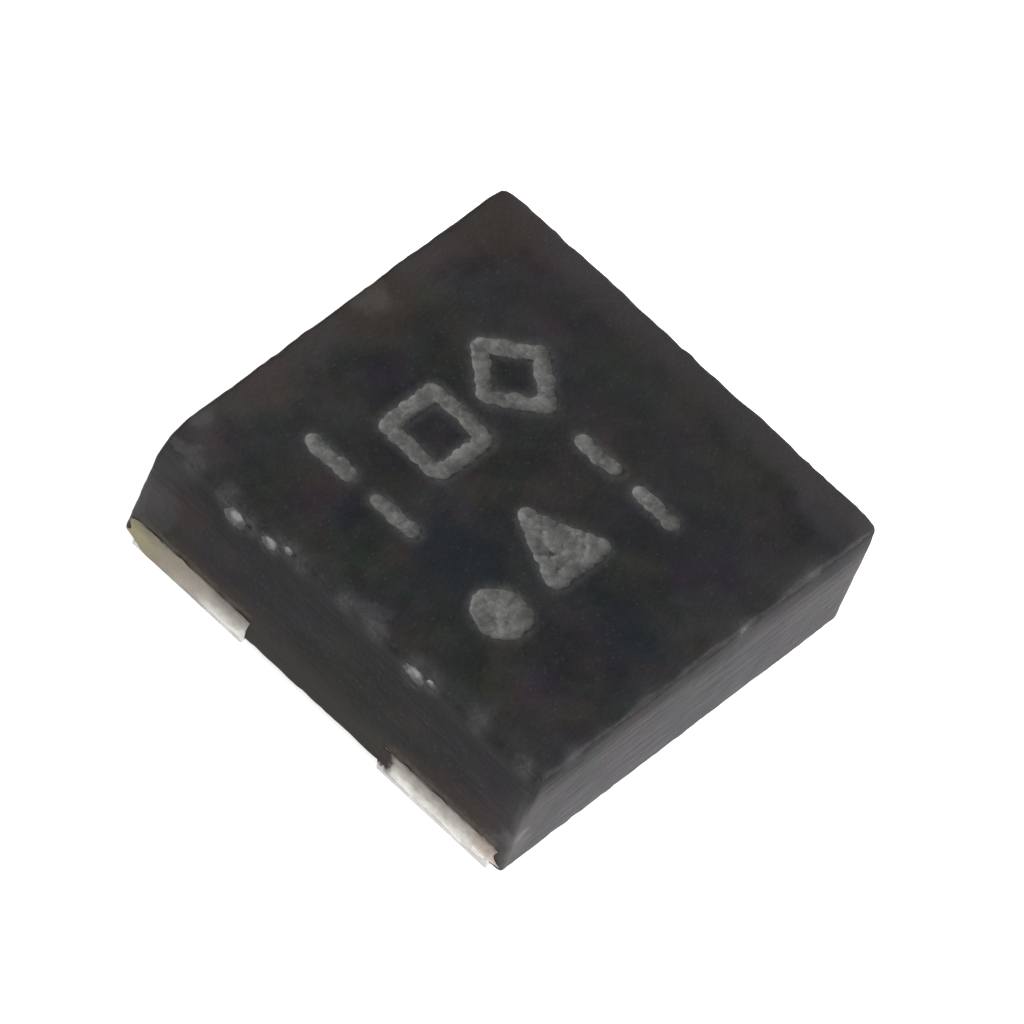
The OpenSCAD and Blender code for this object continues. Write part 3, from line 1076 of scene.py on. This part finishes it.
def smearEnd(piece, outward):
    # the saw turns up the foot's edge and smears the end a little over the resin, with a ragged outline
    look, side = metalLook, halfSide
    innerTurn, outerTurn, corner = look["turnedUp"][piece.name]
    wide, narrow = look["strays"]

    def onEnd(face):
        return face.normal.x * outward > 0.95 and abs(face.calc_center_median().x) > side - onFace

    ends = [v.co for v in piece.data.vertices if abs(v.co.x) > side - onFace]
    lowest, highest = [Vector([f(co[axis] for co in ends) for axis in range(3)]) for f in (min, max)]
    openForEdit(piece)
    bpy.ops.mesh.select_all(action="SELECT")
    bpy.ops.mesh.bisect(plane_co=(outward * (side - look["slope"]), 0, 0), plane_no=(1, 0, 0))
    bpy.ops.mesh.select_mode(type="FACE")
    for axis, normal in ((1, (0, 1, 0)), (2, (0, 0, 1))):
        count = round((highest[axis] - lowest[axis]) / look["cell"])
        for n in range(1, count):
            where = [0, 0, 0]
            where[axis] = lowest[axis] + (highest[axis] - lowest[axis]) * n / count
            pick(piece, "faces", onEnd)
            bpy.ops.mesh.bisect(plane_co=where, plane_no=normal)
    bpy.ops.mesh.select_mode(type="FACE")
    pick(piece, "faces", onEnd)
    bpy.ops.mesh.extrude_region_move(TRANSFORM_OT_translate={"value": (outward * look["smear"], 0, 0)})
    closeEdit()

    near = 0.0008
    for vertex in piece.data.vertices:
        spot = vertex.co.copy()
        if abs(spot.x) < side - near:
            continue
        # 0 at the foot's inner end, 1 at the corner of the body
        along = (abs(spot.y) - min(abs(lowest.y), abs(highest.y))) / (highest.y - lowest.y)
        turned = innerTurn + (outerTurn - innerTurn) * along
        turned *= 0.85 + 0.6 * noise.noise(spot * look["turns"])
        low = max(0.0, min(1.0, (highest.z - spot.z) / (highest.z - lowest.z)))
        toCorner = (1 - along) * (highest.y - lowest.y)
        rounded = look["endWear"] * max(0.0, 1 - toCorner / look["endReach"]) ** 2
        vertex.co.z += (turned + rounded) * low ** 3
        if abs(spot.x) < side + look["smear"] * 0.5:
            continue
        ripple = noise.noise(spot * look["ripples"])
        wander = noise.noise(spot * wide + Vector((2, 9, 4))) + 0.5 * noise.noise(spot * narrow)
        vertex.co.x += outward * look["rough"] * (ripple - 0.2)
        if spot.z > highest.z - near:
            vertex.co.z += look["upper"] * wander
        if spot.z < lowest.z + look["edge"] + near:
            vertex.co.z += look["under"] * max(0.0, wander + 0.1)
        for edge, way in ((highest.y, 1), (lowest.y, -1)):
            if abs(spot.y - edge) < near:
                vertex.co.y += way * (corner if abs(edge) > 0.4 else look["side"]) * max(0.1, 0.6 + wander)


def makeMetal(nodeName, name):
    look = metalLook
    piece = solidOf(nodeName, name)
    low = min(v.co.z for v in piece.data.vertices)
    openForEdit(piece, "EDGE")
    pick(piece, "edges", lambda e: all(v.co.z < low + 0.0005 for v in e.verts) and e.calc_face_angle(0) > 1)
    bpy.ops.mesh.bevel(offset=look["edge"], segments=look["edgeSteps"], affect="EDGES")
    closeEdit()
    if name != "heatPad":
        smearEnd(piece, math.copysign(1, piece.data.vertices[0].co.x))
    piece.data.materials.append(finish["plated"])
    piece.data.materials.append(finish["sawnLead"])
    for face in piece.data.polygons:
        face.material_index = 1 if abs(face.center.x) > halfSide + 0.0003 else 0
    smooth(piece)
    bringToSize(piece)
    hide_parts(nodeName)
    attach(piece, "root")
    return piece


metalNames = {
    "lead_1_output": "leadOutput",
    "lead_2_ground": "leadGround",
    "lead_3_enable": "leadEnable",
    "lead_4_input": "leadInput",
    "heat_pad": "heatPad",
}
for nodeName, name in metalNames.items():
    makeMetal(nodeName, name)
print("leads and heat pad finished")


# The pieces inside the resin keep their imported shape

innerFinish = {
    "die_film": "film",
    "silicon_die": "silicon",
    "wire_1_output": "gold",
    "wire_2_ground": "gold",
    "wire_3_enable": "gold",
    "wire_4_input": "gold",
}
for nodeName, finishName in innerFinish.items():
    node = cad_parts[nodeName]
    node.data.materials.clear()
    node.data.materials.append(finish[finishName])


# Floor and light

studioLook = {
    "floorSize": 60,
    "floorColour": (0.86, 0.86, 0.86),
    # light that the floor adds by itself, as the camera and as shiny faces see it
    "floorLift": 0.80,
    "mirroredLift": 0.52,
    "skyStrength": 0.25,
    "lamps": [  # name, place in mm, size in mm, watts
        ("keyLamp", (110, -230, 110), 200, 0.92),
        ("overheadLamp", (-80, -60, 250), 200, 0.30),
    ],
}


def makeFloor():
    look = studioLook
    deselectAll()
    bpy.ops.mesh.primitive_plane_add(size=look["floorSize"], location=(0, 0, footBottom))
    floor = newest("floor")
    applyPlace(floor)
    bringToSize(floor)
    material, tree, shader = newMaterial("paleFloor", 0.9, Emission_Color=(1, 1, 1, 1))
    shader.inputs["Base Color"].default_value = (*look["floorColour"], 1)
    seen = tree.nodes.new("ShaderNodeLightPath").outputs
    mirrored = sums(tree, "MAXIMUM", seen["Is Glossy Ray"], seen["Is Transmission Ray"])
    mirrored = sums(tree, "MULTIPLY", mirrored, look["mirroredLift"])
    lift = sums(tree, "MULTIPLY", seen["Is Camera Ray"], look["floorLift"])
    lift = sums(tree, "MAXIMUM", lift, mirrored)
    tree.links.new(lift, shader.inputs["Emission Strength"])
    floor.data.materials.append(material)


def makeSky():
    world = bpy.data.worlds.new("studio")
    bpy.context.scene.world = world
    world.use_nodes = True
    background = world.node_tree.nodes["Background"]
    background.inputs["Color"].default_value = (1, 1, 1, 1)
    background.inputs["Strength"].default_value = studioLook["skyStrength"]


def makeLamp(name, spot, size, watts):
    data = bpy.data.lights.new(name, "AREA")
    data.shape = "SQUARE"
    data.size = size * metresPerUnit
    data.energy = watts
    lamp = bpy.data.objects.new(name, data)
    spot = Vector(spot) * metresPerUnit
    turn = (-spot).to_track_quat("-Z", "Y").to_matrix()
    lamp.matrix_world = Matrix.Translation(spot) @ turn.to_4x4()
    bpy.context.scene.collection.objects.link(lamp)


makeFloor()
makeSky()
for lampFacts in studioLook["lamps"]:
    makeLamp(*lampFacts)
bpy.context.scene.view_settings.view_transform = "Standard"
print("studio ready")
